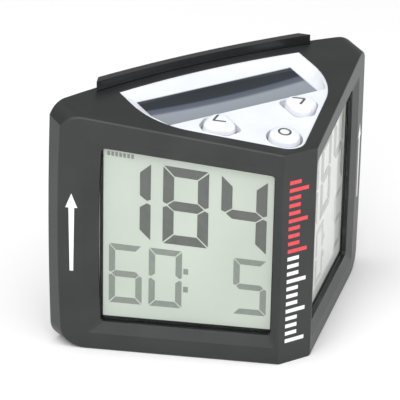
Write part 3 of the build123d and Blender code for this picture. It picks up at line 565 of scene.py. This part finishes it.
def arrow_outline(sizes):
    """An arrow that points up a display face: head, then a shaft that tapers downwards."""
    tip = sizes.arrow_tip
    base = tip - ARROW_HEAD_LENGTH
    end = tip - ARROW_LENGTH
    u = sizes.arrow_place
    foot, neck, head = ARROW_HALF_WIDTHS
    return np.array([(u - foot, end), (u + foot, end), (u + neck, base), (u + head, base), (u, tip),
                     (u - head, base), (u - neck, base)])


def nose_ticks(low, count, pitch):
    """Level bars up the nose, all from one edge: every fourth is the longest."""
    outlines = []
    for index in range(count):
        end = TICK_LONG if index % 4 == 0 else TICK_SHORT
        bottom = low + index * pitch
        top = bottom + pitch / 2
        outlines.append([(TICK_EDGE, bottom), (end, bottom), (end, top), (TICK_EDGE, top)])
    return outlines


class COMPASS_OT_prints(bpy.types.Operator):
    """Prints the up arrows on the faces and the graduated scale on the nose"""

    bl_idname = "compass.prints"
    bl_label = "Print marks"

    def execute(self, context):
        sizes = context.scene.compass_sizes
        for side, word in ((-1, "left"), (1, "right")):
            face_plates(f"{word}_up_arrow", [arrow_outline(sizes)], side, -PRINT_LIFT, 2 * PRINT_LIFT,
                        "white_ink")

        def ahead(points):
            return np.stack([points[:, 0] * MM, np.full(len(points), NOSE_Y - PRINT_LIFT),
                             points[:, 1] * MM], -1)

        def behind(points):
            return ahead(points) + np.array([0, 2 * PRINT_LIFT, 0])

        pitch = sizes.tick_pitch
        red_bottom = TICK_BOTTOM + WHITE_TICKS * pitch
        for word, low, count, finish in (("red", red_bottom, RED_TICKS, "red_ink"),
                                         ("white", TICK_BOTTOM, WHITE_TICKS, "white_ink")):
            vertices, faces = plates(nose_ticks(low, count, pitch), behind, ahead)
            scale = make_piece(f"nose_scale_{word}", vertices, faces, finish, "case",
                               smooth=False)
            turn_outwards(scale)
        return {"FINISHED"}


# ---- Keys ---------------------------------------------------------------------------------------

def cap_radius(name, angle, sizes):
    """Radius of a key cap at an angle: round, or with three soft lobes of which one points
    outwards on the arrow keys."""
    if name == "go_key":
        return np.full_like(angle, sizes.key_radius)
    outward = 0.0 if name == "right_key" else pi
    return sizes.key_radius * (1.0 + 0.085 * np.cos(3 * (angle - outward)))


def cap_height(share, sizes):
    """Height of a cap at a share of its radius: a superellipse, nearly flat in the middle and
    turned down at its rim."""
    return sizes.key_height * (1 - np.clip(share, 0, 1) ** 5.0) ** (1 / 2.4)


def make_cap(name, sizes):
    """Cap surface over (angle, step): the skirt rises, steps in, and closes over the dome."""
    x, y = KEY_PLACES[name]
    angle = np.linspace(0, 2 * pi, 72, endpoint=False)
    rim = cap_radius(name, angle, sizes)
    skirt = ((1.26, -3.9), (1.26, -3.25), (1.03, -3.2), (1.03, -0.75), (1.02, -0.5), (1.0, -0.3))
    dome = 1 - np.linspace(0, 1, 16)[:-1] ** 1.6
    shares = np.array([s for s, _ in skirt] + dome.tolist())
    heights = np.array([h for _, h in skirt] + cap_height(dome, sizes).tolist())
    radius = shares[:, None] * rim[None, :]
    px = x + radius * np.cos(angle)[None, :]
    py = y + np.minimum(radius * np.sin(angle)[None, :], FLANGE_REACH) * cos(TOP_TILT)
    rings = on_top(px, py, heights[:, None] + 0 * px).reshape(-1, 3)
    ends = on_top(np.array([x, x]), np.array([y, y]), np.array([heights[0], sizes.key_height]))
    count = len(angle)
    faces = grid_faces(len(shares), count, wrap=True)
    last = len(rings)
    around = np.arange(count)
    after = np.roll(around, -1)
    faces += np.stack([after, around, np.full(count, last)], -1).tolist()
    top = (len(shares) - 1) * count
    faces += np.stack([top + around, top + after, np.full(count, last + 1)], -1).tolist()
    cap = make_piece(f"{name}_cap", np.concatenate([rings, ends]), faces, "key", name)
    turn_outwards(cap)
    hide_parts(name)
    return cap


def mark_ribbon(name, path, width, sizes, closed=False):
    """A printed line on a cap. Its surface is the path plus a share of the width along the
    path's normal, lifted to the cap's own height so that it lies on the dome."""
    x, y = KEY_PLACES[name]
    path = np.asarray(path, float)
    ahead = np.roll(path, -1, 0) - np.roll(path, 1, 0)
    if not closed:
        ahead[0] = path[1] - path[0]
        ahead[-1] = path[-1] - path[-2]
    ahead /= np.linalg.norm(ahead, axis=1)[:, None]
    normal = np.stack([-ahead[:, 1], ahead[:, 0]], -1)
    across = np.linspace(-0.5, 0.5, 5)
    flat = path[:, None, :] + across[None, :, None] * width * normal[:, None, :]
    angle = np.arctan2(flat[..., 1], flat[..., 0])
    share = np.linalg.norm(flat, axis=-1) / cap_radius(name, angle, sizes)
    lift = cap_height(share, sizes)
    tops = [on_top(x + flat[..., 0], y + flat[..., 1] * cos(TOP_TILT), lift + step)
            for step in (0.035, -0.05)]
    rows, columns = flat.shape[:2]
    if closed:
        tops = [np.concatenate([t, t[:1]]) for t in tops]
        rows += 1
    vertices = np.concatenate([t.reshape(-1, 3) for t in tops])
    size = rows * columns
    faces = grid_faces(rows, columns) + [f[::-1] for f in grid_faces(rows, columns, size)]
    edge = np.concatenate([np.arange(rows) * columns, (np.arange(rows) * columns + columns - 1)[::-1]])
    if closed:
        rails = (np.arange(rows) * columns, (np.arange(rows) * columns + columns - 1))
        for rail in rails:
            faces += np.stack([rail[:-1], rail[1:], rail[1:] + size, rail[:-1] + size], -1).tolist()
    else:
        first = np.arange(columns)
        last = (rows - 1) * columns + np.arange(columns)
        loop = np.concatenate([first, edge[rows:][::-1][1:], last[::-1][1:], edge[:rows][::-1][1:-1]])
        after = np.roll(loop, -1)
        faces += np.stack([loop, after, after + size, loop + size], -1).tolist()
    piece = make_piece(f"{name}_mark", vertices, faces, "grey_ink", name, smooth=False)
    turn_outwards(piece)
    return piece


class COMPASS_OT_keys(bpy.types.Operator):
    """Makes the three domed key caps and their marks"""

    bl_idname = "compass.keys"
    bl_label = "Make keys"

    def execute(self, context):
        sizes = context.scene.compass_sizes
        for name in KEY_PLACES:
            make_cap(name, sizes)
        turn = np.linspace(0, 2 * pi, 40, endpoint=False)
        mark_ribbon("go_key", np.stack([1.9 * np.cos(turn), 0.4 + 1.9 * np.sin(turn)], -1), 0.7, sizes,
                    closed=True)
        arm = np.linspace(-1, 1, 21)
        for name, way in (("left_key", -1), ("right_key", 1)):
            chevron = np.stack([way * (1.9 - 3.4 * np.abs(arm)), 1.0 + 2.3 * arm], -1)
            mark_ribbon(name, chevron, 0.75, sizes)
        return {"FINISHED"}


# ---- CAD nodes ----------------------------------------------------------------------------------

class COMPASS_OT_finishes(bpy.types.Operator):
    """Gives every CAD node its procedural finish"""

    bl_idname = "compass.finishes"
    bl_label = "Finish the CAD nodes"

    def execute(self, context):
        finishes = dict(NODE_FINISH)
        for side in ("left", "right"):
            finishes.update({f"{side}_{name}": finish for name, finish in SIDE_FINISH.items()})
        for name, node in NODES.items():
            node.data.materials.clear()
            node.data.materials.append(MATERIALS[finishes[name]])
        return {"FINISHED"}


# ---- Stage --------------------------------------------------------------------------------------

def camera_turn():
    """Camera axes as a rotation: azimuth about Z, elevation above the floor, then roll."""
    azimuth, elevation, roll = (radians(a) for a in (CAMERA_AZIMUTH, CAMERA_ELEVATION, CAMERA_ROLL))
    back = Vector((sin(azimuth) * cos(elevation), -cos(azimuth) * cos(elevation), sin(elevation)))
    right = (-back).cross(Vector((0, 0, 1))).normalized()
    up = right.cross(-back)
    level = Matrix((right, up, back)).transposed()
    return level @ Matrix.Rotation(roll, 3, "Z")


def soft_light(name, at, aim, size, power):
    """A square soft light that faces a point."""
    data = bpy.data.lights.new(name, "AREA")
    data.shape = "SQUARE"
    data.size = size
    data.energy = power
    light = bpy.data.objects.new(name, data)
    bpy.context.scene.collection.objects.link(light)
    light.location = at
    light.rotation_euler = (Vector(aim) - Vector(at)).to_track_quat("-Z", "Y").to_euler()
    return light


class COMPASS_OT_stage(bpy.types.Operator):
    """Makes the floor, the soft lights, the sky and the camera"""

    bl_idname = "compass.stage"
    bl_label = "Set the stage"

    def execute(self, context):
        scene = context.scene
        looks = scene.compass_looks
        scene.view_settings.view_transform = "Standard"
        reach = 3.0
        corners = [(-reach, -reach, 0), (reach, -reach, 0), (reach, reach, 0), (-reach, reach, 0)]
        mesh = bpy.data.meshes.new("floor")
        mesh.from_pydata(corners, [], [(0, 1, 2, 3)])
        mesh.materials.append(MATERIALS["paper"])
        floor = bpy.data.objects.new("floor", mesh)
        scene.collection.objects.link(floor)
        aim = (0, 0, 0.05)
        soft_light("overhead_light", (-0.5, -0.4, 1.6), aim, 2.0, 27.0 * looks.light_level)
        soft_light("fill_light", (-0.9, -0.7, 0.5), aim, 0.7, 4.5 * looks.light_level)
        soft_light("side_light", (0.8, -0.9, 0.3), aim, 0.6, 4.0 * looks.light_level)
        world = bpy.data.worlds.new("studio")
        world.use_nodes = True
        world.node_tree.nodes.clear()
        sky = add_node(world.node_tree, "ShaderNodeBackground",
                       inputs={"Color": linear("#ffffff"), "Strength": looks.sky_level})
        add_node(world.node_tree, "ShaderNodeOutputWorld", links={"Surface": sky.outputs[0]})
        scene.world = world
        data = bpy.data.cameras.new("camera")
        data.lens = CAMERA_LENS
        data.sensor_width = 36.0
        data.clip_start = 0.01
        camera = bpy.data.objects.new("camera", data)
        scene.collection.objects.link(camera)
        camera.matrix_world = Matrix.Translation(Vector(CAMERA_AT) * MM) @ camera_turn().to_4x4()
        scene.camera = camera
        return {"FINISHED"}


# ---- Settings and panel -------------------------------------------------------------------------

class CompassSizes(bpy.types.PropertyGroup):
    """Sizes of the visible details, in millimetres"""

    key_radius: FloatProperty(name="Key radius", description="Radius of a key cap, in mm", default=5.05)
    key_height: FloatProperty(name="Key height", description="Rise of a key cap over the panel, in mm",
                              default=1.85)
    arrow_place: FloatProperty(name="Arrow place", description="Arrow's distance from the nose, in mm",
                               default=69.0)
    arrow_tip: FloatProperty(name="Arrow tip", description="Height of the arrow's tip, in mm",
                             default=56.0)
    tick_pitch: FloatProperty(name="Tick pitch", description="Spacing of the nose scale, in mm",
                              default=2.7)


class CompassLooks(bpy.types.PropertyGroup):
    """Colours and light of the scene"""

    housing_colour: StringProperty(name="Housing", description="Housing colour, sRGB hex",
                                   default="#262929")
    panel_colour: StringProperty(name="Panel", description="Top panel colour, sRGB hex",
                                 default="#e6e9ef")
    key_colour: StringProperty(name="Keys", description="Key cap colour, sRGB hex", default="#e8ebf0")
    light_level: FloatProperty(name="Light level", description="Strength of all soft lights",
                               default=1.0, min=0.0)
    sky_level: FloatProperty(name="Sky level", description="Strength of the white surroundings",
                             default=0.45, min=0.0)


STEPS = (COMPASS_OT_finishes, COMPASS_OT_readouts, COMPASS_OT_prints, COMPASS_OT_keys, COMPASS_OT_stage)


class COMPASS_PT_panel(bpy.types.Panel):
    """Lists the steps and the settings of the compass"""

    bl_idname = "COMPASS_PT_panel"
    bl_label = "Sailing compass"
    bl_space_type = "VIEW_3D"
    bl_region_type = "UI"
    bl_category = "Compass"

    def draw(self, context):
        for step in STEPS:
            self.layout.operator(step.bl_idname)
        for group in (context.scene.compass_sizes, context.scene.compass_looks):
            for name in group.__annotations__:
                self.layout.prop(group, name)


CLASSES = (CompassSizes, CompassLooks, *STEPS, COMPASS_PT_panel)


def register():
    """Registers the classes and hangs the settings on the scene."""
    for each in CLASSES:
        bpy.utils.register_class(each)
    bpy.types.Scene.compass_sizes = PointerProperty(type=CompassSizes)
    bpy.types.Scene.compass_looks = PointerProperty(type=CompassLooks)


def unregister():
    """Takes the settings and the classes away again."""
    del bpy.types.Scene.compass_looks
    del bpy.types.Scene.compass_sizes
    for each in reversed(CLASSES):
        bpy.utils.unregister_class(each)


def main():
    """Builds the scene in order."""
    register()
    make_materials(bpy.context.scene.compass_looks)
    bpy.ops.compass.stage()
    bpy.ops.compass.finishes()
    bpy.ops.compass.readouts()
    bpy.ops.compass.prints()
    bpy.ops.compass.keys()


if __name__ == "__main__":
    main()
